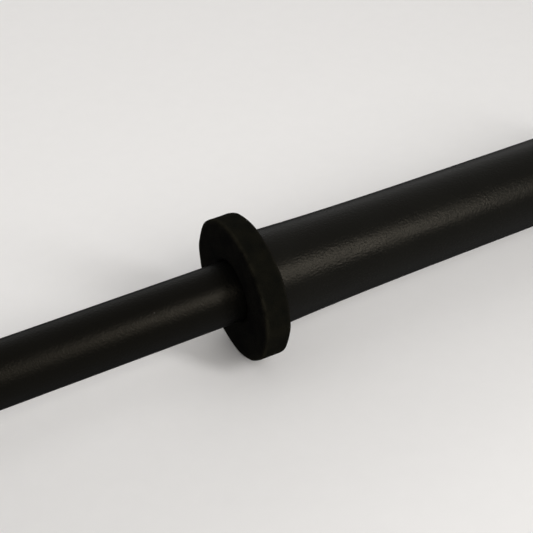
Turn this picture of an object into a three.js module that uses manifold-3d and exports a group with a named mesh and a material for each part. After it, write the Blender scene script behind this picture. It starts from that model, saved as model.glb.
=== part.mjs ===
// Devil stick: the centre stick of a juggling set, built as a person would build it. A rubber-covered
// waist runs through two foam collars, and behind each collar a thicker padded arm runs to a rubber cap.
//
// Millimetres. X runs along the stick and Z is up. The origin is on the stick's axis, halfway along it.
// Every piece is turned about X. The right arm is drawn on +X, and the left arm is the same half turned
// round Z.
import * as THREE from "three";
import { mergeVertices } from "three/addons/utils/BufferGeometryUtils.js";
import Module from "manifold-3d";

// Driving dimensions: lengths along the stick
const WAIST_LENGTH = 248; // between the two collars
const COLLAR_THICKNESS = 9.5; // cut from a sheet of this thickness
const ARM_LENGTH = 184; // from a collar to the open end of its sleeve
const BUSH_LENGTH = 30;
const FLANGE_THICKNESS = 12; // the part of the end plug that fills the sleeve
const CAP_SKIRT = 22; // how far the cap reaches over the sleeve
const CAP_FLOOR = 3; // rubber left under the washer
const WASHER_THICKNESS = 1.2;
const SCREW_LENGTH = 30; // from under the head to the point
const SCREW_POINT = 5;
const HEAD_HEIGHT = 1.9;
const HEAD_SINK = 0.5; // how far the head stays below the cap's end face
const PLUG_NOSE = 8; // wood left beyond the screw's point

// Driving dimensions: across the stick
const WAIST_DIAMETER = 22;
const COLLAR_DIAMETER = 52.4;
const ARM_DIAMETER = 32.4; // where the flare has died away
const FLARE = 1.7; // how much wider the arm's radius is at the collar
const FLARE_REACH = 32; // length over which the flare falls to about a third
const SLEEVE_WALL = 2;
const CORE_DIAMETER = 16;
const CORE_WALL = 1;
const CAP_WALL = 2;
const WASHER_DIAMETER = 17;
const WASHER_CLEARANCE = 1; // round the washer, in the cap's recess
const HEAD_DIAMETER = 8.4;
const SHANK_DIAMETER = 4.2;
const SLOT_WIDTH = 1.1; // each arm of the cross in the screw's head
const SLOT_SPAN = 5;
const SLOT_DEPTH = 1.2;

// Edges
const COLLAR_EDGE = 0.9;
const SLEEVE_EDGE = 0.5;
const CAP_EDGE = 3;
const CAP_BEAD = 0.9; // the half-round bead on the rim of the cap's skirt

// Fits
const GAP = 0.3; // end to end, between pieces that touch
const FIT = 0.3; // all round, between a piece and what it fits in

// Sides of the turned shapes. A flat, not a corner, faces down, so that the stick rests on flats.
const SIDES = 48;
const SMALL_SIDES = 24;
const EDGE_STEPS = 3;
const BEAD_STEPS = 4;
const FLARE_STATIONS = [0.15, 0.4, 0.75, 1.25, 2, 3]; // shares of the flare's reach

// Places along +X
const COLLAR_START = WAIST_LENGTH / 2;
const ARM_START = COLLAR_START + COLLAR_THICKNESS + GAP;
const ARM_END = ARM_START + ARM_LENGTH - GAP;
const BUSH_END = ARM_START + BUSH_LENGTH;
const FLANGE_START = ARM_END - FLANGE_THICKNESS;
const CORE_END = FLANGE_START - GAP;
const CAP_INSIDE = ARM_END + GAP;
const RECESS_FLOOR = CAP_INSIDE + CAP_FLOOR;
const WASHER_START = RECESS_FLOOR + GAP;
const HEAD_START = WASHER_START + WASHER_THICKNESS + GAP;
const STICK_END = HEAD_START + HEAD_HEIGHT + HEAD_SINK;
const SCREW_TIP = HEAD_START - SCREW_LENGTH;
const PILOT_END = SCREW_TIP - GAP;
const PLUG_START = PILOT_END - PLUG_NOSE;

// Radii
const WAIST_RADIUS = WAIST_DIAMETER / 2;
const CORE_RADIUS = CORE_DIAMETER / 2;
const CORE_BORE = CORE_RADIUS - CORE_WALL;
const SLEEVE_BORE = CORE_RADIUS + FIT; // the bore of everything that slides on the core
const PILOT_RADIUS = SHANK_DIAMETER / 2 + FIT;
const RECESS_RADIUS = WASHER_DIAMETER / 2 + WASHER_CLEARANCE;
const CAP_BORE = armRadius(ARM_END - CAP_SKIRT) + FIT;
const CAP_RADIUS = CAP_BORE + CAP_WALL;

// Looks
const blackRubber = { color: 0x1a1917, roughness: 0.62, metalness: 0 };
const blackFoam = { color: 0x100f0c, roughness: 0.97, metalness: 0 };
const greyFoam = { color: 0x6d6f70, roughness: 0.95, metalness: 0 };
const capRubber = { color: 0x161616, roughness: 0.55, metalness: 0 };
const aluminium = { color: 0xb9bcc0, roughness: 0.35, metalness: 1 };
const nylon = { color: 0x1c1c1e, roughness: 0.5, metalness: 0 };
const beech = { color: 0xc49a6c, roughness: 0.7, metalness: 0 };
const zincedSteel = { color: 0xa7aaae, roughness: 0.32, metalness: 1 };

const wasm = await Module();
wasm.setup();

// The arm sleeve's outer radius at x: it is spread at the collar and settles to the arm's own size.
function armRadius(x) {
  return ARM_DIAMETER / 2 + FLARE * Math.exp((ARM_START - x) / FLARE_REACH);
}

// Points [x, radius] along the flare from one x to another, inset from the outer surface.
function flareLine(from, to, inset) {
  const stations = FLARE_STATIONS.map((share) => ARM_START + share * FLARE_REACH);
  const inside = stations.filter((x) => x > from && x < to);
  return [from, ...inside, to].map((x) => [x, armRadius(x) - inset]);
}

// Points [x, radius] on an arc about [x, radius], between two angles in quarter turns. Angle 0 points
// out along the radius, and angle 1 along +X.
function arc(x, radius, size, from, to, steps = EDGE_STEPS) {
  const points = [];
  for (let i = 0; i <= steps; i++) {
    const angle = (from + ((to - from) * i) / steps) * (Math.PI / 2);
    points.push([x + size * Math.sin(angle), radius + size * Math.cos(angle)]);
  }
  return points;
}

// A solid turned about X. The outline runs +X along the outside and back along the bore. It closes on
// itself, or starts and ends on the axis.
function turned(outline, sides = SIDES) {
  const onAxis = outline[0][1] === 0;
  const closed = onAxis ? outline : [...outline, outline[0]];
  const points = closed.map(([x, radius]) => new THREE.Vector2(radius, x));
  const halfSide = Math.PI / sides;
  return new THREE.LatheGeometry(points, sides, halfSide).rotateZ(-Math.PI / 2);
}

// A plain tube turned about X.
function tube(from, to, radius, bore, sides) {
  return turned([[from, bore], [from, radius], [to, radius], [to, bore]], sides);
}

function solidOf(geometry) {
  const bare = geometry.clone();
  bare.deleteAttribute("normal");
  bare.deleteAttribute("uv");
  const merged = mergeVertices(bare, 1e-4);
  return new wasm.Manifold(
    new wasm.Mesh({
      numProp: 3,
      vertProperties: merged.attributes.position.array,
      triVerts: new Uint32Array(merged.index.array),
    }),
  );
}

function geometryOf(solid) {
  const mesh = solid.getMesh();
  return new THREE.BufferGeometry()
    .setAttribute("position", new THREE.BufferAttribute(mesh.vertProperties, 3))
    .setIndex(new THREE.BufferAttribute(mesh.triVerts, 1));
}

function piece(name, geometry, look) {
  geometry.computeVertexNormals();
  const mesh = new THREE.Mesh(geometry, new THREE.MeshStandardMaterial(look));
  mesh.name = name;
  return mesh;
}

// The aluminium tube that everything is built on.
function coreTube() {
  return piece("core_tube", tube(-CORE_END, CORE_END, CORE_RADIUS, CORE_BORE), aluminium);
}

// The rubber tube over the waist. It runs on through both collars and butts on the bushes.
function waistSleeve() {
  const end = COLLAR_START + COLLAR_THICKNESS;
  return piece("waist_sleeve", tube(-end, end, WAIST_RADIUS, SLEEVE_BORE), blackRubber);
}

// The foam disc where the waist meets the arm, a push fit on the waist sleeve.
function collar(side) {
  const end = COLLAR_START + COLLAR_THICKNESS;
  const bore = WAIST_RADIUS + FIT;
  const edgeRadius = COLLAR_DIAMETER / 2 - COLLAR_EDGE;
  const outline = [
    [COLLAR_START, bore],
    ...arc(COLLAR_START + COLLAR_EDGE, edgeRadius, COLLAR_EDGE, -1, 0),
    ...arc(end - COLLAR_EDGE, edgeRadius, COLLAR_EDGE, 0, 1),
    [end, bore],
  ];
  return piece(`collar_${side}`, turned(outline), blackFoam);
}

// The thick rubber sleeve of the arm, spread at the collar by the bush inside it.
function armSleeve(side) {
  const lip = armRadius(ARM_START + SLEEVE_EDGE) - SLEEVE_EDGE;
  const outline = [
    ...arc(ARM_START + SLEEVE_EDGE, lip, SLEEVE_EDGE, -1, 0),
    ...flareLine(ARM_START + SLEEVE_EDGE, ARM_END, 0).slice(1),
    ...flareLine(ARM_START, ARM_END, SLEEVE_WALL).reverse(),
  ];
  return piece(`arm_sleeve_${side}`, turned(outline), blackRubber);
}

// The tapered ring that carries the sleeve on the core and holds its mouth open at the collar.
function spacerBush(side) {
  const outline = [
    [ARM_START, SLEEVE_BORE],
    ...flareLine(ARM_START, BUSH_END, SLEEVE_WALL + FIT),
    [BUSH_END, SLEEVE_BORE],
  ];
  return piece(`spacer_bush_${side}`, turned(outline), nylon);
}

// The foam tube that fills the arm between the bush and the end plug.
function armPadding(side) {
  const from = BUSH_END + GAP;
  const to = FLANGE_START - GAP;
  const outline = [
    [from, SLEEVE_BORE],
    ...flareLine(from, to, SLEEVE_WALL + FIT),
    [to, SLEEVE_BORE],
  ];
  return piece(`arm_padding_${side}`, turned(outline), greyFoam);
}

// The turned wooden plug: its spigot fits in the core and its flange fills the sleeve's end.
function endPlug(side) {
  const spigot = CORE_BORE - FIT;
  const flange = armRadius(ARM_END) - SLEEVE_WALL - FIT;
  const outline = [
    [PLUG_START, 0],
    [PLUG_START, spigot],
    [FLANGE_START, spigot],
    [FLANGE_START, flange],
    [ARM_END, flange],
    [ARM_END, PILOT_RADIUS],
    [PILOT_END, PILOT_RADIUS],
    [PILOT_END, 0],
  ];
  return piece(`end_plug_${side}`, turned(outline), beech);
}

// The moulded rubber cap, with a beaded rim and a recess in its flat end for the washer and screw.
function endCap(side) {
  const rim = ARM_END - CAP_SKIRT;
  const edgeRadius = CAP_RADIUS - CAP_EDGE;
  const outline = [
    [rim, CAP_BORE],
    ...arc(rim + CAP_BEAD, CAP_RADIUS, CAP_BEAD, -1, 1, BEAD_STEPS),
    ...arc(STICK_END - CAP_EDGE, edgeRadius, CAP_EDGE, 0, 1),
    [STICK_END, RECESS_RADIUS],
    [RECESS_FLOOR, RECESS_RADIUS],
    [RECESS_FLOOR, PILOT_RADIUS],
    [CAP_INSIDE, PILOT_RADIUS],
    [CAP_INSIDE, CAP_BORE],
  ];
  return piece(`end_cap_${side}`, turned(outline), capRubber);
}

function endWasher(side) {
  const end = WASHER_START + WASHER_THICKNESS;
  const geometry = tube(WASHER_START, end, WASHER_DIAMETER / 2, PILOT_RADIUS, SMALL_SIDES);
  return piece(`end_washer_${side}`, geometry, zincedSteel);
}

// The wood screw, with a domed head and a cross in it for the driver.
function endScrew(side) {
  const shank = SHANK_DIAMETER / 2;
  const headEnd = HEAD_START + HEAD_HEIGHT;
  const domeShare = HEAD_HEIGHT / (HEAD_DIAMETER / 2);
  const dome = arc(0, 0, HEAD_DIAMETER / 2, 0, 1).map(([x, r]) => [HEAD_START + x * domeShare, r]);
  const outline = [
    [SCREW_TIP, 0],
    [SCREW_TIP + SCREW_POINT, shank],
    [HEAD_START, shank],
    ...dome.slice(0, -1),
    [headEnd, 0],
  ];
  const slot = new THREE.BoxGeometry(2 * SLOT_DEPTH, SLOT_WIDTH, SLOT_SPAN);
  const across = slot.clone().rotateX(Math.PI / 2);
  const head = solidOf(turned(outline, SMALL_SIDES));
  const cross = solidOf(slot.translate(headEnd, 0, 0)).add(solidOf(across.translate(headEnd, 0, 0)));
  return piece(`end_screw_${side}`, geometryOf(head.subtract(cross)), zincedSteel);
}

const ARM_PIECES = [
  collar,
  armSleeve,
  spacerBush,
  armPadding,
  endPlug,
  endCap,
  endWasher,
  endScrew,
];

const stick = new THREE.Group();
stick.name = "devil_stick";
stick.add(coreTube(), waistSleeve());
for (const [side, turn] of [["right", 0], ["left", Math.PI]]) {
  const half = new THREE.Group();
  half.name = `${side}_half`;
  half.rotation.z = turn;
  half.add(...ARM_PIECES.map((make) => make(side)));
  stick.add(half);
}

export default stick;
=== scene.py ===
"""Looks for the devil stick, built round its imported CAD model.

The rubber, foam and steel that show are turned again here as fine meshes, in metres and in the CAD's
frame: X along the stick, Z up. The pieces inside keep their CAD solids and get finished materials.
"""

import math
import random

import bmesh
import bpy
from mathutils import Matrix, Vector, noise


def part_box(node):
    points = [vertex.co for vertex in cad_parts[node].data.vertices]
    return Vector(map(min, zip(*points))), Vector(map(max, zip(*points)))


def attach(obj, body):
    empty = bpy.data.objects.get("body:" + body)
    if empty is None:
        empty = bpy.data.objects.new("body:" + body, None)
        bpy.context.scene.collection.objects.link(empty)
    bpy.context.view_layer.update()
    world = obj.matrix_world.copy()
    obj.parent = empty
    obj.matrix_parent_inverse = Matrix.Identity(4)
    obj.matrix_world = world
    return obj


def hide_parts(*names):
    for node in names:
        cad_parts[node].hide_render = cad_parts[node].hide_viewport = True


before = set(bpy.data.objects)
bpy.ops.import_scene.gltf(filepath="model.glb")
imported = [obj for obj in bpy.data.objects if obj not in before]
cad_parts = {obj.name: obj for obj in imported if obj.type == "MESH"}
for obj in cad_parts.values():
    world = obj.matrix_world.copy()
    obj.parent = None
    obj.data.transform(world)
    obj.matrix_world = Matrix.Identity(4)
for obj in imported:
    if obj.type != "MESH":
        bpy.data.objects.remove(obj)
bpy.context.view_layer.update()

MM = 0.001
SIDES = ("right", "left")

# The CAD's turned shapes have flats, and a flat faces down, so a box is a little smaller than the round.
CAD_SIDES = 48
CAD_SMALL_SIDES = 24

# Driving values of the fine shapes
TURN_STEPS = 160
SMALL_TURN_STEPS = 72
ROUND_STEPS = 5  # faces across a rounded corner
WELD = 0.0001 * MM  # points closer than this are one
SEED_SHIFT = (7.3, 3.1, 5.7)  # how far apart two seeds put their noise
TOUCH = 0.02 * MM  # left between two pieces that press on each other
SLEEVE_WALL = 2.0 * MM
SLEEVE_LIP = 1.0 * MM  # rounding of a cut rubber end
ARM_RADIUS = 16.2 * MM  # where the flare has died away
FLARE = 1.7 * MM
FLARE_REACH = 32 * MM
STATION_STEP = 4 * MM  # between rings along a sleeve
SLEEVE_RIPPLE = 0.05 * MM  # how far a sleeve's surface strays from a true cylinder
RIPPLE_LENGTH = 45 * MM
MOUTH_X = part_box("arm_sleeve_right")[0].x  # where an arm's rubber starts, at the collar

COLLAR_BORE_EDGE = 1.5 * MM
COLLAR_RIM_EDGE = 0.8 * MM
COLLAR_BACK_EDGE = 1.8 * MM  # the edge beside the arm has been knocked rounder
COLLAR_STEP = 0.8 * MM  # between rings over a collar's faces and rim
COLLAR_TURN_STEPS = 288
COLLAR_EDGE_HIGHLIGHT_REACH = 1.6 * COLLAR_RIM_EDGE  # how far the painted pale edge highlight reaches from an edge
KNIFE_CUT_ANGLES = (18, 34)  # shortest and longest straight cut round a collar, in degrees
KNIFE_SHARE = 0.45  # how much of a straight cut's flatness is left after trimming
KNIFE_OVERSIZE = 0.25 * MM  # the collar is cut a little outside the drawn circle
KNIFE_BLUNT = 5  # degrees on each side over which two straight cuts run into each other
KNIFE_BLUNT_STEPS = 3  # places averaged on each side
FOAM_SWELL = 0.22 * MM  # slow unevenness of the foam sheet
FOAM_SWELL_LENGTH = 13 * MM
FOAM_GRAIN = 0.045 * MM
FOAM_GRAIN_LENGTH = 2.2 * MM
SQUASH = 0.05 * MM  # how far the foam flattens where the collar stands
FOOT_FOCUS = 60  # the higher this is, the shorter the stretch of rim that stands on the floor
FACE_SHARE = 0.7  # how much of the unevenness the collar's faces take
MOUTH_GAP = 0.12 * MM  # dark line left between a collar and the arm's mouth

PIPE_RIPPLE = 0.08 * MM
PIPE_GRIP = 0.15 * MM  # keeps the uneven foam pipe inside the sleeve's wall

CAP_BEAD = 0.9 * MM  # the bead stands this far out from the skirt, and is twice as wide
CAP_BEAD_EDGE = 0.95 * CAP_BEAD  # rounding of the bead
CAP_EDGE = 3 * MM  # rounding of the cap's end
CAP_LIP = 0.5 * MM  # rounding of the recess
CAP_STEP = 1.5 * MM
CAP_WEAR = 1.3 * CAP_EDGE  # how far the scuffs reach from the end's edge
CAP_BEAD_WEAR = 0.7  # how scuffed the bead's top is, against 1 at the end's edge
CAP_RIPPLE_LENGTH = RIPPLE_LENGTH / 3
RECESS_ROOM = 1 * MM  # between the washer's rim and the recess round it
WASHER_EDGE = 0.3 * MM
SHANK_RADIUS = 2.1 * MM
PILOT_RADIUS = 2.4 * MM
SCREW_POINT = 5 * MM
SCREW_TURN = 0.4  # how far the right screw's cross happens to be turned, in radians
SHARP_ANGLE = math.radians(35)  # a screw's edges that turn by more than this stay crisp
DOME_STEPS = 10
CROSS_WIDTH = 1.1 * MM
CROSS_SPAN = 5 * MM
CROSS_DEPTH = 1.8 * MM
CROSS_CLEAR = 0.2 * MM  # how far the cutter stands out of the head
CROSS_TAPER = 0.45  # the cross's floor is this share as long as its mouth
CROSS_PINCH = 0.7  # and this share as wide


# ---------------------------------------------------------------- meshes


def box_radius(node, sides=CAD_SIDES):
    """The true radius of a turned CAD node."""
    low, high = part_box(node)
    return (high.z - low.z) / 2 / math.cos(math.pi / sides)


def stations(start, end, step=STATION_STEP):
    """Places from start to end, about a step apart."""
    count = max(1, round(abs(end - start) / step))
    return [start + (end - start) * i / count for i in range(count + 1)]


def on_ring(edge, x, radius):
    """Whether an edge lies on the circle of that radius about X, at x."""
    near = TOUCH / 4
    return all(
        abs(v.co.x - x) < near and abs(math.hypot(v.co.y, v.co.z) - radius) < near for v in edge.verts
    )


def turned(outline, steps=TURN_STEPS):
    """A solid turned about X. The outline is (x, radius, rounding) points: it closes on itself, or
    starts and ends on the axis. A corner with a rounding above 0 is bevelled by that much."""
    bm = bmesh.new()
    corners = [bm.verts.new((x, 0, radius)) for x, radius, _ in outline]
    ends = corners if outline[0][1] == 0 else corners + corners[:1]
    sides = [bm.edges.new(pair) for pair in zip(ends, ends[1:])]
    bmesh.ops.spin(
        bm,
        geom=corners + sides,
        cent=(0, 0, 0),
        axis=(1, 0, 0),
        angle=math.tau,
        steps=steps,
        use_merge=True,
    )
    bmesh.ops.remove_doubles(bm, verts=bm.verts, dist=WELD)
    bmesh.ops.recalc_face_normals(bm, faces=bm.faces)
    for size in sorted({rounding for _, _, rounding in outline if rounding > 0}):
        rings = [(x, radius) for x, radius, rounding in outline if rounding == size]
        edges = [e for e in bm.edges if any(on_ring(e, x, radius) for x, radius in rings)]
        bmesh.ops.bevel(
            bm,
            geom=edges,
            offset=size,
            offset_type="OFFSET",
            segments=ROUND_STEPS,
            profile=0.5,
            affect="EDGES",
            material=-1,
            clamp_overlap=True,
        )
    return bm


def stray(point, length, seed):
    """Smooth noise from -1 to 1 that changes over about that length."""
    return noise.noise(point / length + Vector([seed * shift for shift in SEED_SHIFT]))


def outward(point):
    """The unit vector away from the stick's axis."""
    away = Vector((0, point.y, point.z))
    return away.normalized() if away.length > 0 else away


def ripple(bm, amount, length, seed):
    """Moves a turned surface in and out a little, as drawn rubber is never quite true."""
    for v in bm.verts:
        v.co += outward(v.co) * (amount * stray(v.co, length, seed))


def finished(bm, name, material, node, side="right"):
    """Makes the mesh a piece in its place: on the left arm it is turned half round Z."""
    if side == "left":
        bmesh.ops.rotate(bm, verts=bm.verts, cent=(0, 0, 0), matrix=Matrix.Rotation(math.pi, 3, "Z"))
    mesh = bpy.data.meshes.new(name)
    bm.to_mesh(mesh)
    bm.free()
    mesh.materials.append(material)
    for face in mesh.polygons:
        face.use_smooth = True
    piece = bpy.data.objects.new(name, mesh)
    bpy.context.scene.collection.objects.link(piece)
    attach(piece, "root")
    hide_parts(node)
    return piece


# ---------------------------------------------------------------- materials


COLOURS = {"data_type": "RGBA"}  # what a Mix node mixes; a colour leaves by its output 2
VALUES = {"data_type": "FLOAT"}


def linear(hex_colour):
    """An sRGB hex value as a linear colour with full alpha."""
    values = [int(hex_colour[i : i + 2], 16) / 255 for i in (1, 3, 5)]
    return [v / 12.92 if v <= 0.04045 else ((v + 0.055) / 1.055) ** 2.4 for v in values] + [1.0]


def add(tree, kind, settings, sockets):
    """Adds a shader node with its settings, and its sockets set to values or linked to other outputs."""
    made = tree.nodes.new("ShaderNode" + kind)
    for name, value in settings.items():
        setattr(made, name, value)
    for socket, value in sockets.items():
        if isinstance(value, bpy.types.NodeSocket):
            tree.links.new(value, made.inputs[socket])
        else:
            made.inputs[socket].default_value = value
    return made


def start(name):
    """A new material's tree, the output it ends in and the object coordinates it reads."""
    material = bpy.data.materials.new(name)
    material.use_nodes = True
    tree = material.node_tree
    tree.nodes.clear()
    output = add(tree, "OutputMaterial", {}, {})
    place = add(tree, "TexCoord", {}, {}).outputs["Object"]
    return material, tree, output, place


def ground_rubber(name, dark, pale, ring_mm, smoothest, shine):
    """EPDM rubber tube, drawn and then ground to size between wheels. The wheel leaves rings round the
    tube and an even grain, which break up the highlight. Carbon black makes it nearly black, with a soft
    satin shine, dull patches from handling, and a little dust."""
    material, tree, output, place = start(name)
    # Grinding rings, ring_mm apart along the stick, fade in and out over 9 mm round it. Real ones are
    # about 0.3 mm apart and the wheel's grain 0.2 mm wide: both are drawn coarser, so that they show.
    ring = 1 / (ring_mm * MM)
    fade = 1 / (9 * MM)
    stretched = add(tree, "Mapping", {}, {"Vector": place, "Scale": (ring, fade, fade)})
    rings = add(tree, "TexNoise", {}, {"Vector": stretched.outputs[0], "Scale": 1.0, "Detail": 3.0})
    grain = add(tree, "TexNoise", {}, {"Vector": place, "Scale": 1 / (0.75 * MM), "Detail": 3.0})
    relief = add(
        tree, "Mix", VALUES, {"Factor": 0.85, "A": rings.outputs["Fac"], "B": grain.outputs["Fac"]}
    )
    bump = add(tree, "Bump", {}, {"Strength": 1.0, "Distance": 0.16 * MM, "Height": relief.outputs[0]})
    # Hands have dulled the rubber in patches about 17 mm across.
    dulling = 0.08  # of roughness
    patches = add(tree, "TexNoise", {}, {"Vector": place, "Scale": 1 / (17 * MM), "Detail": 3.0})
    # Dust: specks half a millimetre wide, a few to a hand's width of tube. Each is the middle of a 6 mm
    # cell, and shows only where the surface happens to pass through it.
    cell = 6 * MM
    speck_radius = 0.27 * MM
    bare_cells = 0.62  # a cell whose random grey is below this stays clean, which is about seven in ten
    cells = add(tree, "TexVoronoi", {}, {"Vector": place, "Scale": 1 / cell})
    speck = add(
        tree,
        "Math",
        {"operation": "LESS_THAN"},
        {0: cells.outputs["Distance"], 1: speck_radius / cell},
    )
    few = add(tree, "Math", {"operation": "GREATER_THAN"}, {0: cells.outputs["Color"], 1: bare_cells})
    dust = add(tree, "Math", {"operation": "MULTIPLY"}, {0: speck.outputs[0], 1: few.outputs[0]})
    tone = add(
        tree,
        "Mix",
        COLOURS,
        {"Factor": patches.outputs["Fac"], "A": linear(dark), "B": linear(pale)},
    )
    colour = add(
        tree,
        "Mix",
        COLOURS,
        {"Factor": dust.outputs[0], "A": tone.outputs[2], "B": linear("#35332f")},
    )
    rough = add(
        tree,
        "MapRange",
        {},
        {
            "Value": patches.outputs["Fac"],
            "From Min": 0.3,
            "From Max": 0.7,
            "To Min": smoothest,
            "To Max": smoothest + dulling,
        },
    )
    shader = add(
        tree,
        "BsdfPrincipled",
        {},
        {
            "Base Color": colour.outputs[2],
            "Roughness": rough.outputs[0],
            "Specular IOR Level": shine,
            "Specular Tint": linear("#fff3dc"),
            "Normal": bump.outputs[0],
        },
    )
    tree.links.new(shader.outputs[0], output.inputs["Surface"])
    return material


def foam_material():
    """EVA foam sheet, cut round with a knife. Its open pores swallow the light, so the sheet's skin is
    nearly black with no shine. The cut rim is a little paler and olive, in patches, and a pale highlight
    is painted along the outer edges in broken lengths."""
    material, tree, output, place = start("knife_cut_eva_foam")
    # The foam's pores are about 0.2 mm wide. They are drawn at 0.5 to 0.7 mm, so that they show.
    pores = add(tree, "TexVoronoi", {}, {"Vector": place, "Scale": 1 / (0.7 * MM)})
    fine = add(tree, "TexNoise", {}, {"Vector": place, "Scale": 1 / (0.5 * MM), "Detail": 2.0})
    # The knife left paler patches about 6 mm across.
    patches = add(tree, "TexNoise", {}, {"Vector": place, "Scale": 1 / (6 * MM), "Detail": 4.0})
    relief = add(
        tree,
        "Mix",
        VALUES,
        {"Factor": 0.4, "A": pores.outputs["Distance"], "B": fine.outputs["Fac"]},
    )
    bump = add(tree, "Bump", {}, {"Strength": 1.0, "Distance": 0.25 * MM, "Height": relief.outputs[0]})
    uneven = add(
        tree, "MapRange", {}, {"Value": patches.outputs["Fac"], "From Min": 0.35, "From Max": 0.65}
    )
    skin = add(
        tree,
        "Mix",
        COLOURS,
        {"Factor": uneven.outputs[0], "A": linear("#0a0908"), "B": linear("#100f0c")},
    )
    cut = add(
        tree,
        "Mix",
        COLOURS,
        {"Factor": uneven.outputs[0], "A": linear("#0c0c09"), "B": linear("#12110c")},
    )
    rim = add(tree, "Attribute", {"attribute_name": "rim"}, {})
    tone = add(
        tree,
        "Mix",
        COLOURS,
        {"Factor": rim.outputs["Fac"], "A": skin.outputs[2], "B": cut.outputs[2]},
    )
    # A pale highlight is painted along the outer edges, broken into lengths about 4 mm long.
    scuffs_and_edge_highlight = add(tree, "Attribute", {"attribute_name": "scuffs_and_edge_highlight"}, {})
    edge_highlight_breaks = add(tree, "TexNoise", {}, {"Vector": place, "Scale": 1 / (4 * MM), "Detail": 3.0})
    gaps = add(tree, "MapRange", {}, {"Value": edge_highlight_breaks.outputs["Fac"], "From Min": 0.3, "From Max": 0.6})
    broken = add(tree, "Math", {"operation": "MULTIPLY"}, {0: scuffs_and_edge_highlight.outputs["Fac"], 1: gaps.outputs[0]})
    # Painted highlight: the outer edges are laid paler, in #201e17.
    colour = add(
        tree,
        "Mix",
        COLOURS,
        {"Factor": broken.outputs[0], "A": tone.outputs[2], "B": linear("#201e17")},
    )
    shader = add(
        tree,
        "BsdfPrincipled",
        {},
        {
            "Base Color": colour.outputs[2],
            "Roughness": 0.97,
            "Specular IOR Level": 0.02,
            "Normal": bump.outputs[0],
        },
    )
    tree.links.new(shader.outputs[0], output.inputs["Surface"])
    return material


def cap_material():
    """Black rubber moulded in a spark-eroded tool: an even, fine, dull grain, scuffed grey where the
    end's edge has met the floor."""
    material, tree, output, place = start("moulded_cap_rubber")
    # The tool's pits are about 0.1 mm wide. They are drawn at 0.6 mm, so that they show.
    grain = add(tree, "TexNoise", {}, {"Vector": place, "Scale": 1 / (0.6 * MM), "Detail": 3.0})
    bump = add(
        tree, "Bump", {}, {"Strength": 1.0, "Distance": 0.05 * MM, "Height": grain.outputs["Fac"]}
    )
    # Scuffs are 2 to 3 mm long, and lie where the piece's "worn" attribute is high.
    scuffs = add(tree, "TexNoise", {}, {"Vector": place, "Scale": 1 / (2.5 * MM), "Detail": 5.0})
    sharp = add(
        tree, "MapRange", {}, {"Value": scuffs.outputs["Fac"], "From Min": 0.48, "From Max": 0.62}
    )
    scuffs_and_edge_highlight = add(tree, "Attribute", {"attribute_name": "scuffs_and_edge_highlight"}, {})
    scuffed = add(
        tree, "Math", {"operation": "MULTIPLY"}, {0: scuffs_and_edge_highlight.outputs["Fac"], 1: sharp.outputs[0]}
    )
    colour = add(
        tree,
        "Mix",
        COLOURS,
        {"Factor": scuffed.outputs[0], "A": linear("#0f0f0e"), "B": linear("#33312e")},
    )
    rough = add(
        tree, "MapRange", {}, {"Value": scuffed.outputs[0], "To Min": 0.52, "To Max": 0.85}
    )
    shader = add(
        tree,
        "BsdfPrincipled",
        {},
        {
            "Base Color": colour.outputs[2],
            "Roughness": rough.outputs[0],
            "Specular IOR Level": 0.14,
            "Normal": bump.outputs[0],
        },
    )
    tree.links.new(shader.outputs[0], output.inputs["Surface"])
    return material


def zinc_material():
    """Bright zinc plate on pressed steel: a cool silver metal, slightly cloudy, with fine scratches."""
    material, tree, output, place = start("zinc_plated_steel")
    # The plate is cloudy in patches about 3 mm across.
    cloud = add(tree, "TexNoise", {}, {"Vector": place, "Scale": 1 / (3 * MM), "Detail": 4.0})
    # Scratches from the plating barrel are hair-fine and about 3 mm long. They are drawn 0.25 mm wide, so
    # that they show.
    wide = 1 / (0.25 * MM)
    long = 300.0  # per metre
    across = add(tree, "Mapping", {}, {"Vector": place, "Scale": (long, wide, long)})
    scratches = add(tree, "TexNoise", {}, {"Vector": across.outputs[0], "Scale": 1.0, "Detail": 2.0})
    bump = add(
        tree, "Bump", {}, {"Strength": 0.6, "Distance": 0.01 * MM, "Height": scratches.outputs["Fac"]}
    )
    colour = add(
        tree,
        "Mix",
        COLOURS,
        {"Factor": cloud.outputs["Fac"], "A": linear("#b4b8bb"), "B": linear("#cfd2d2")},
    )
    rough = add(tree, "MapRange", {}, {"Value": cloud.outputs["Fac"], "To Min": 0.2, "To Max": 0.42})
    shader = add(
        tree,
        "BsdfPrincipled",
        {},
        {
            "Base Color": colour.outputs[2],
            "Metallic": 1.0,
            "Roughness": rough.outputs[0],
            "Normal": bump.outputs[0],
        },
    )
    tree.links.new(shader.outputs[0], output.inputs["Surface"])
    return material


def aluminium_material():
    """Drawn aluminium tube, left as it came from the die: soft silver with fine lines along it."""
    material, tree, output, place = start("drawn_aluminium")
    # The die's lines are 0.4 mm apart round the tube, and run on for about 80 mm.
    between = 1 / (0.4 * MM)
    run = 12.0  # per metre
    along = add(tree, "Mapping", {}, {"Vector": place, "Scale": (run, between, between)})
    lines = add(tree, "TexNoise", {}, {"Vector": along.outputs[0], "Scale": 1.0, "Detail": 3.0})
    bump = add(
        tree, "Bump", {}, {"Strength": 0.5, "Distance": 0.01 * MM, "Height": lines.outputs["Fac"]}
    )
    colour = add(
        tree,
        "Mix",
        COLOURS,
        {"Factor": lines.outputs["Fac"], "A": linear("#b9bcc0"), "B": linear("#d3d5d8")},
    )
    rough = add(tree, "MapRange", {}, {"Value": lines.outputs["Fac"], "To Min": 0.28, "To Max": 0.45})
    shader = add(
        tree,
        "BsdfPrincipled",
        {},
        {
            "Base Color": colour.outputs[2],
            "Metallic": 1.0,
            "Roughness": rough.outputs[0],
            "Normal": bump.outputs[0],
        },
    )
    tree.links.new(shader.outputs[0], output.inputs["Surface"])
    return material


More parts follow.
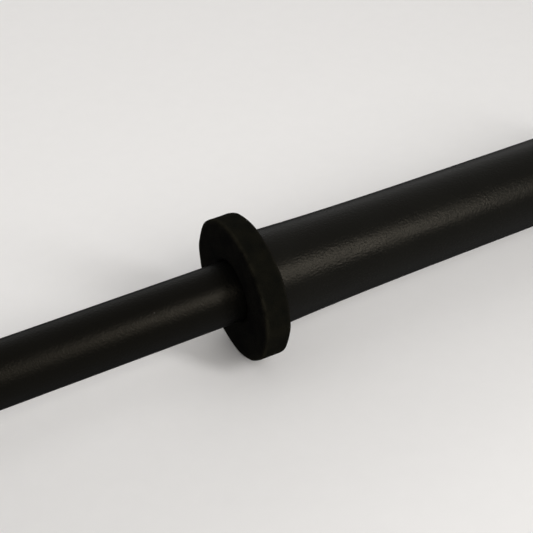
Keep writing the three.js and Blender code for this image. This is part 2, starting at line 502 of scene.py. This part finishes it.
def nylon_material():
    """Black nylon turned on a lathe: satin, with the tool's fine rings round it."""
    material, tree, output, place = start("turned_black_nylon")
    # The tool moved on by 0.5 mm a turn, and each ring holds for about 25 mm round the bush.
    feed = 1 / (0.5 * MM)
    hold = 1 / (25 * MM)
    across = add(tree, "Mapping", {}, {"Vector": place, "Scale": (feed, hold, hold)})
    rings = add(tree, "TexNoise", {}, {"Vector": across.outputs[0], "Scale": 1.0, "Detail": 2.0})
    bump = add(
        tree, "Bump", {}, {"Strength": 0.8, "Distance": 0.02 * MM, "Height": rings.outputs["Fac"]}
    )
    colour = add(
        tree,
        "Mix",
        COLOURS,
        {"Factor": rings.outputs["Fac"], "A": linear("#161618"), "B": linear("#222224")},
    )
    shader = add(
        tree,
        "BsdfPrincipled",
        {},
        {"Base Color": colour.outputs[2], "Roughness": 0.45, "Normal": bump.outputs[0]},
    )
    tree.links.new(shader.outputs[0], output.inputs["Surface"])
    return material


def padding_material():
    """Grey polyethylene foam pipe: closed cells about a millimetre wide, with a dull waxy skin."""
    material, tree, output, place = start("polyethylene_foam")
    cells = add(tree, "TexVoronoi", {}, {"Vector": place, "Scale": 1 / (1.2 * MM)})
    bump = add(
        tree, "Bump", {}, {"Strength": 1.0, "Distance": 0.3 * MM, "Height": cells.outputs["Distance"]}
    )
    colour = add(
        tree,
        "Mix",
        COLOURS,
        {"Factor": cells.outputs["Distance"], "A": linear("#606263"), "B": linear("#7b7d7e")},
    )
    shader = add(
        tree,
        "BsdfPrincipled",
        {},
        {
            "Base Color": colour.outputs[2],
            "Roughness": 0.85,
            "Specular IOR Level": 0.3,
            "Normal": bump.outputs[0],
        },
    )
    tree.links.new(shader.outputs[0], output.inputs["Surface"])
    return material


def beech_material():
    """Turned beech, unvarnished: pale brown with short darker flecks along the grain."""
    material, tree, output, place = start("turned_beech")
    # Growth bands are 1.5 mm wide and change along the grain over 20 mm.
    band = 1 / (1.5 * MM)
    band_length = 1 / (20 * MM)
    grain = add(tree, "Mapping", {}, {"Vector": place, "Scale": (band_length, band, band)})
    bands = add(tree, "TexNoise", {}, {"Vector": grain.outputs[0], "Scale": 1.0, "Detail": 4.0})
    # Ray flecks are 0.4 mm wide and 3 mm long.
    fleck = 1 / (0.4 * MM)
    fleck_length = 1 / (3 * MM)
    short = add(tree, "Mapping", {}, {"Vector": place, "Scale": (fleck_length, fleck, fleck)})
    flecks = add(tree, "TexNoise", {}, {"Vector": short.outputs[0], "Scale": 1.0, "Detail": 1.0})
    dark = add(
        tree, "MapRange", {}, {"Value": flecks.outputs["Fac"], "From Min": 0.58, "From Max": 0.66}
    )
    wood = add(
        tree,
        "Mix",
        COLOURS,
        {"Factor": bands.outputs["Fac"], "A": linear("#b98a5c"), "B": linear("#d0a878")},
    )
    colour = add(
        tree,
        "Mix",
        COLOURS,
        {"Factor": dark.outputs[0], "A": wood.outputs[2], "B": linear("#9a6c43")},
    )
    bump = add(
        tree, "Bump", {}, {"Strength": 0.6, "Distance": 0.05 * MM, "Height": bands.outputs["Fac"]}
    )
    shader = add(
        tree,
        "BsdfPrincipled",
        {},
        {"Base Color": colour.outputs[2], "Roughness": 0.65, "Normal": bump.outputs[0]},
    )
    tree.links.new(shader.outputs[0], output.inputs["Surface"])
    return material


# ---------------------------------------------------------------- pieces


def flared(x):
    """The arm sleeve's outer radius at x: spread at the collar, it settles to the arm's own size."""
    return ARM_RADIUS + FLARE * math.exp((MOUTH_X - x) / FLARE_REACH)


def waist_tube(material):
    """The thin rubber tube between the collars, running on through both."""
    low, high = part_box("waist_sleeve")
    radius = box_radius("waist_sleeve")
    bore = box_radius("core_tube") + TOUCH
    outside = [(x, radius, 0) for x in stations(low.x, high.x)]
    outline = [(low.x, bore, 0), *outside, (high.x, bore, 0)]
    bm = turned(outline)
    ripple(bm, SLEEVE_RIPPLE, RIPPLE_LENGTH, seed=1)
    return finished(bm, "waist_rubber_tube", material, "waist_sleeve")


def knife_outline(radius, seed):
    """A function from angle to radius round a hand-cut collar: straight knife cuts of uneven length that
    meet just outside the drawn circle, partly trimmed back to round and blunt where they meet."""
    chooser = random.Random(seed)
    corners = [0.0]
    while corners[-1] < 360 - KNIFE_CUT_ANGLES[1]:
        corners.append(corners[-1] + chooser.uniform(*KNIFE_CUT_ANGLES))
    corners.append(360.0)

    def chord(turn):
        """How far in a straight cut lies at that turn, as a share of the radius."""
        before = max(c for c in corners if c <= turn)
        after = min(c for c in corners if c > turn)
        half = math.radians(after - before) / 2
        return math.cos(half) / math.cos(math.radians(turn - before) - half)

    def at(angle):
        """The collar's radius at that angle."""
        near = range(-KNIFE_BLUNT_STEPS, KNIFE_BLUNT_STEPS + 1)
        turns = [(math.degrees(angle) + KNIFE_BLUNT * i / KNIFE_BLUNT_STEPS) % 360 for i in near]
        flatness = sum(chord(turn) for turn in turns) / len(turns)
        return (radius + KNIFE_OVERSIZE) * (1 + (flatness - 1) * KNIFE_SHARE)

    return at


def collar_outline(start_x, end_x, bore, radius):
    """Half the disc's section, with the rings over its faces and rim that the cut and the foam move."""
    clear = COLLAR_STEP / 2  # the rings stay this far off the rounded corners
    face = stations(bore + COLLAR_BORE_EDGE + clear, radius - COLLAR_BACK_EDGE - clear, COLLAR_STEP)
    rim = stations(start_x + COLLAR_RIM_EDGE + clear, end_x - COLLAR_BACK_EDGE - clear, COLLAR_STEP)
    return [
        (start_x, bore, COLLAR_BORE_EDGE),
        *[(start_x, r, 0) for r in face],
        (start_x, radius, COLLAR_RIM_EDGE),
        *[(x, radius, 0) for x in rim],
        (end_x, radius, COLLAR_BACK_EDGE),
        *[(end_x, r, 0) for r in reversed(face)],
        (end_x, bore, COLLAR_BORE_EDGE),
    ]


def foam_collar(side, material, seed):
    """The foam disc, cut by hand from sheet. Its edges are a little rounded and its bore grips the waist.
    The attribute that places the painted pale edge highlight is 1 on the outer edges, and its "rim"
    attribute is 1 on the cut rim."""
    start_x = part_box("collar_right")[0].x
    end_x = MOUTH_X - MOUTH_GAP
    bore = box_radius("waist_sleeve") + TOUCH
    radius = box_radius("collar_right")
    bm = turned(collar_outline(start_x, end_x, bore, radius), COLLAR_TURN_STEPS)
    scuffs_and_edge_highlight = bm.verts.layers.float.new("scuffs_and_edge_highlight")
    rim_share = bm.verts.layers.float.new("rim")
    cut = knife_outline(radius, seed)
    for v in bm.verts:
        away = outward(v.co)
        reach = math.hypot(v.co.y, v.co.z)
        share = (reach - bore) / (radius - bore)  # 0 at the bore, 1 at the rim
        corner = math.hypot(radius - reach, min(v.co.x - start_x, end_x - v.co.x))
        # Painted pale edge highlight: 1 at the outer edges, fading out away from them.
        v[scuffs_and_edge_highlight] = max(0.0, 1 - corner / COLLAR_EDGE_HIGHLIGHT_REACH)
        v[rim_share] = min(1.0, max(0.0, 1 - (radius - reach) / COLLAR_RIM_EDGE))
        angle = math.atan2(v.co.y, v.co.z)
        standing = max(0.0, -away.z) ** FOOT_FOCUS  # 1 where the collar meets the floor
        edge = cut(angle) * (1 - standing) + (radius + SQUASH) * standing
        slow = FOAM_SWELL * stray(v.co, FOAM_SWELL_LENGTH, seed)
        grain = FOAM_GRAIN * stray(v.co, FOAM_GRAIN_LENGTH, seed + 1)
        facing = 1 if v.co.x > (start_x + end_x) / 2 else -1
        v.co += away * (share * (edge - radius + slow) + share * grain)
        v.co.x += (slow + grain) * share * facing * FACE_SHARE
        v.co.z = max(v.co.z, -radius)
    piece = finished(bm, f"foam_collar_{side}", material, f"collar_{side}", side)
    return piece


def arm_tube(side, material, seed):
    """The thick rubber sleeve of one arm, its mouth spread against the collar."""
    low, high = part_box("arm_sleeve_right")
    outside = [(x, flared(x), 0) for x in stations(low.x, high.x)[1:]]
    inside = [(x, radius - SLEEVE_WALL, 0) for x, radius, _ in reversed(outside)]
    mouth = flared(low.x)
    outline = [
        (low.x, mouth - SLEEVE_WALL, 0),
        (low.x, mouth, SLEEVE_LIP),
        *outside,
        *inside,
    ]
    bm = turned(outline)
    ripple(bm, SLEEVE_RIPPLE, RIPPLE_LENGTH, seed)
    return finished(bm, f"arm_rubber_{side}", material, f"arm_sleeve_{side}", side)


def foam_pipe(side, material, seed):
    """The foam pipe between the core and an arm's rubber, gripped by both."""
    low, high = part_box("arm_padding_right")
    bore = box_radius("core_tube") + TOUCH
    outside = [(x, flared(x) - SLEEVE_WALL - PIPE_GRIP, 0) for x in stations(low.x, high.x)]
    bm = turned([(low.x, bore, 0), *outside, (high.x, bore, 0)])
    ripple(bm, PIPE_RIPPLE, FOAM_SWELL_LENGTH, seed)
    piece = finished(bm, f"foam_pipe_{side}", material, f"arm_padding_{side}", side)
    return piece


def end_cap(side, material, seed):
    """The moulded cap: a beaded rim, a rounded end, and a recess that the washer lies in. Its "worn"
    attribute is 1 on the end's edge, and lower on the bead."""
    low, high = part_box("end_cap_right")
    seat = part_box("end_washer_right")[0].x - TOUCH
    recess = box_radius("end_washer_right", CAD_SMALL_SIDES) + RECESS_ROOM
    skirt = box_radius("end_cap_right") - CAP_BEAD
    bore = flared(low.x) + TOUCH
    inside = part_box("arm_sleeve_right")[1].x + TOUCH
    bead_end = low.x + 2 * CAP_BEAD
    skirt_rings = stations(bead_end + CAP_STEP, high.x - CAP_EDGE - CAP_STEP, CAP_STEP)
    outline = [
        (low.x, bore, 0),
        (low.x, skirt + CAP_BEAD, CAP_BEAD_EDGE),
        (bead_end, skirt + CAP_BEAD, CAP_BEAD_EDGE),
        (bead_end, skirt, 0),
        *[(x, skirt, 0) for x in skirt_rings],
        (high.x, skirt, CAP_EDGE),
        (high.x, recess, CAP_LIP),
        (seat, recess, 0),
        (seat, PILOT_RADIUS, 0),
        (inside, PILOT_RADIUS, 0),
        (inside, bore, 0),
    ]
    bm = turned(outline)
    scuffs_and_edge_highlight = bm.verts.layers.float.new("scuffs_and_edge_highlight")
    for v in bm.verts:
        reach = math.hypot(v.co.y, v.co.z)
        corner = math.hypot(skirt - reach, high.x - v.co.x)
        bead = max(0.0, reach - skirt) / CAP_BEAD
        v[scuffs_and_edge_highlight] = max(0.0, 1 - corner / CAP_WEAR, bead * CAP_BEAD_WEAR)
    ripple(bm, SLEEVE_RIPPLE, CAP_RIPPLE_LENGTH, seed)
    return finished(bm, f"moulded_cap_{side}", material, f"end_cap_{side}", side)


def end_washer(side, material):
    """The pressed steel washer, its edges rolled over a little by the punch."""
    low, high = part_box("end_washer_right")
    radius = box_radius("end_washer_right", CAD_SMALL_SIDES)
    outline = [
        (low.x, PILOT_RADIUS, 0),
        (low.x, radius, WASHER_EDGE),
        (high.x, radius, WASHER_EDGE),
        (high.x, PILOT_RADIUS, WASHER_EDGE),
    ]
    bm = turned(outline, SMALL_TURN_STEPS)
    return finished(bm, f"steel_washer_{side}", material, f"end_washer_{side}", side)


def cross_cutter(end_x, turn):
    """One tapered blade of the screwdriver's cross, standing on the head's top."""
    bm = bmesh.new()
    bmesh.ops.create_cube(bm, size=1)
    height = CROSS_DEPTH + CROSS_CLEAR
    bmesh.ops.scale(bm, verts=bm.verts, vec=(height, CROSS_WIDTH, CROSS_SPAN))
    floor = [v for v in bm.verts if v.co.x < 0]
    bmesh.ops.scale(bm, verts=floor, vec=(1, CROSS_PINCH, CROSS_TAPER))
    bmesh.ops.translate(bm, verts=bm.verts, vec=(end_x - CROSS_DEPTH + height / 2, 0, 0))
    bmesh.ops.rotate(bm, verts=bm.verts, cent=(0, 0, 0), matrix=Matrix.Rotation(turn, 3, "X"))
    mesh = bpy.data.meshes.new("cutter")
    bm.to_mesh(mesh)
    bm.free()
    cutter = bpy.data.objects.new("cutter", mesh)
    bpy.context.scene.collection.objects.link(cutter)
    return cutter


def end_screw(side, material, turn):
    """The wood screw: a pointed shank and a domed head with a cross pressed into it. It is made on the
    right, and the left one is turned round once its cross is cut."""
    low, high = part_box("end_screw_right")
    head_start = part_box("end_washer_right")[1].x + TOUCH
    head = box_radius("end_screw_right", CAD_SMALL_SIDES)
    height = high.x - head_start
    dome = [math.pi / 2 * i / DOME_STEPS for i in range(DOME_STEPS)]
    outline = [
        (low.x, 0, 0),
        (low.x + SCREW_POINT, SHANK_RADIUS, 0),
        (head_start, SHANK_RADIUS, 0),
        *[(head_start + height * math.sin(a), head * math.cos(a), 0) for a in dome],
        (high.x, 0, 0),
    ]
    bm = turned(outline, SMALL_TURN_STEPS)
    piece = finished(bm, f"cross_head_screw_{side}", material, f"end_screw_{side}")
    cutters = [cross_cutter(high.x, turn), cross_cutter(high.x, turn + math.pi / 2)]
    for cutter in cutters:
        cut = piece.modifiers.new("cross", "BOOLEAN")
        cut.operation = "DIFFERENCE"
        cut.solver = "EXACT"
        cut.object = cutter
    plain = piece.data
    depsgraph = bpy.context.evaluated_depsgraph_get()
    shape = bpy.data.meshes.new_from_object(piece.evaluated_get(depsgraph))
    piece.modifiers.clear()
    shape.name = plain.name
    if side == "left":
        shape.transform(Matrix.Rotation(math.pi, 4, "Z"))
    shape.set_sharp_from_angle(angle=SHARP_ANGLE)
    piece.data = shape
    bpy.data.meshes.remove(plain)
    for cutter in cutters:
        bpy.data.objects.remove(cutter)
    return piece


waist_rubber = ground_rubber(
    "ground_rubber_waist", dark="#050504", pale="#070706", ring_mm=1.0, smoothest=0.29, shine=0.092
)
arm_rubber = ground_rubber(
    "ground_rubber_arm", dark="#0c0c0b", pale="#10100e", ring_mm=1.1, smoothest=0.23, shine=0.094
)
foam = foam_material()
cap_rubber = cap_material()
zinc = zinc_material()
pipe_foam = padding_material()

waist_tube(waist_rubber)
for count, side in enumerate(SIDES):
    foam_collar(side, foam, seed=11 + count)
    arm_tube(side, arm_rubber, seed=21 + count)
    foam_pipe(side, pipe_foam, seed=41 + count)
    end_cap(side, cap_rubber, seed=31 + count)
    end_washer(side, zinc)
    end_screw(side, zinc, turn=SCREW_TURN + count)

inner_finishes = {
    "core_tube": aluminium_material(),
    "spacer_bush": nylon_material(),
    "end_plug": beech_material(),
}
for node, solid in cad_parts.items():
    for start_of_name, finish in inner_finishes.items():
        if node.startswith(start_of_name):
            solid.material_slots[0].material = finish


# ---------------------------------------------------------------- studio

COLLAR_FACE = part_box("collar_right")[0].x
FLOOR_Z = -box_radius("collar_right")  # the stick stands on its collars
FLOOR_SIZE = 60.0  # so wide that its edge is lost at the horizon
STAND = Vector((COLLAR_FACE, 0, FLOOR_Z))  # what the lamps look at
AIM = Vector((COLLAR_FACE + 14.05 * MM, 0, 5.51 * MM))  # what the camera looks at
CAMERA_AZIMUTH = math.radians(-28.57)  # 0 looks along +Y
CAMERA_ELEVATION = math.radians(40.86)
CAMERA_DISTANCE = 395.5 * MM
CAMERA_LENS = 76.09  # in millimetres
CAMERA_NEAR = 10 * MM


def toward(azimuth, elevation):
    """The unit vector from the stick to something seen at that azimuth and elevation."""
    flat = math.cos(elevation)
    return Vector((math.sin(azimuth) * flat, -math.cos(azimuth) * flat, math.sin(elevation)))


def aimed(thing, place, target):
    """Puts a camera or light at a place, looking at the target."""
    holder = bpy.data.objects.new(thing.name, thing)
    holder.location = place
    holder.rotation_euler = (target - place).to_track_quat("-Z", "Y").to_euler()
    bpy.context.scene.collection.objects.link(holder)
    return holder


def soft_light(name, azimuth, elevation, distance, width, height, radiance, grid, colour):
    """A rectangular softbox that looks at the stand. Radiance is how bright its face is straight on. Its
    grid passes light only within that full angle, which keeps the floor under the lamp from glaring.
    Angles are in degrees and sizes in metres."""
    half_grid = math.radians(grid) / 2
    lamp = bpy.data.lights.new(name, "AREA")
    lamp.shape = "RECTANGLE"
    lamp.size = width
    lamp.size_y = height
    lamp.spread = 2 * half_grid
    # A narrower grid would pack the same power into a brighter middle, so the power comes down with it.
    lamp.energy = radiance * math.pi * width * height * (1 - half_grid / math.tan(half_grid))
    lamp.color = linear(colour)[:3]
    place = STAND + toward(math.radians(azimuth), math.radians(elevation)) * distance
    holder = aimed(lamp, place, STAND)
    holder.visible_camera = False
    return holder


def paper_floor():
    """Matt white paper, pulled out flat: an even pale grey with a trace of its fibres."""
    bm = bmesh.new()
    bmesh.ops.create_grid(bm, x_segments=1, y_segments=1, size=FLOOR_SIZE / 2)
    bmesh.ops.translate(bm, verts=bm.verts, vec=STAND)
    mesh = bpy.data.meshes.new("paper_floor")
    bm.to_mesh(mesh)
    bm.free()
    material, tree, output, place = start("matt_white_paper")
    # Clumps of fibre are about 6 mm across.
    fibres = add(tree, "TexNoise", {}, {"Vector": place, "Scale": 1 / (6 * MM), "Detail": 6.0})
    colour = add(
        tree,
        "Mix",
        COLOURS,
        {"Factor": fibres.outputs["Fac"], "A": linear("#eceae8"), "B": linear("#efedeb")},
    )
    shader = add(tree, "BsdfDiffuse", {}, {"Color": colour.outputs[2]})
    tree.links.new(shader.outputs[0], output.inputs["Surface"])
    mesh.materials.append(material)
    floor = bpy.data.objects.new("paper_floor", mesh)
    bpy.context.scene.collection.objects.link(floor)
    floor.visible_glossy = False  # studio_air() says what the gloss sees below the horizon


def lamps():
    """A tall narrow softbox and a broad one in front, and a low wide one behind, which lights the floor
    and the foam but leaves no highlight."""
    soft_light(
        "key_softbox",
        azimuth=34,
        elevation=37,
        distance=0.9,
        width=0.15,
        height=0.54,
        radiance=18.0,
        grid=64,
        colour="#ffffff",
    )
    soft_light(
        "front_fill",
        azimuth=5,
        elevation=39,
        distance=2.4,
        width=1.0,
        height=1.6,
        radiance=3.15,
        grid=70,
        colour="#fffaf4",
    )
    back = soft_light(
        "back_softbox",
        azimuth=155,
        elevation=18,
        distance=3.0,
        width=3.0,
        height=1.4,
        radiance=4.0,
        grid=90,
        colour="#ffffff",
    )
    back.visible_glossy = False


def studio_air():
    """The room's even light, and what the gloss on the stick reflects."""
    world = bpy.data.worlds.new("studio_air")
    world.use_nodes = True
    tree = world.node_tree
    direction = add(tree, "TexCoord", {}, {}).outputs["Generated"]
    parts = add(tree, "SeparateXYZ", {}, {"Vector": direction})
    # Above the horizon the room is a little brighter behind the stick.
    room = add(
        tree,
        "MapRange",
        {},
        {"Value": parts.outputs["Y"], "From Min": -1.0, "To Min": 0.42, "To Max": 0.66},
    )
    # Below it the gloss sees what the floor would show: bright in front, in the stick's shade behind.
    ground = add(
        tree,
        "MapRange",
        {},
        {"Value": parts.outputs["Y"], "From Min": -0.9, "From Max": 0.1, "To Min": 0.6, "To Max": 0.06},
    )
    above = add(tree, "MapRange", {}, {"Value": parts.outputs["Z"], "From Min": -0.1, "From Max": 0.0})
    strength = add(
        tree,
        "Mix",
        VALUES,
        {"Factor": above.outputs[0], "A": ground.outputs[0], "B": room.outputs[0]},
    )
    background = tree.nodes["Background"]
    tree.links.new(strength.outputs[0], background.inputs["Strength"])
    background.inputs["Color"].default_value = linear("#ffffff")
    bpy.context.scene.world = world


paper_floor()
lamps()
studio_air()

lens = bpy.data.cameras.new("collar_view")
lens.lens = CAMERA_LENS
lens.clip_start = CAMERA_NEAR
camera_place = AIM + toward(CAMERA_AZIMUTH, CAMERA_ELEVATION) * CAMERA_DISTANCE
bpy.context.scene.camera = aimed(lens, camera_place, AIM)
bpy.context.scene.view_settings.view_transform = "Standard"
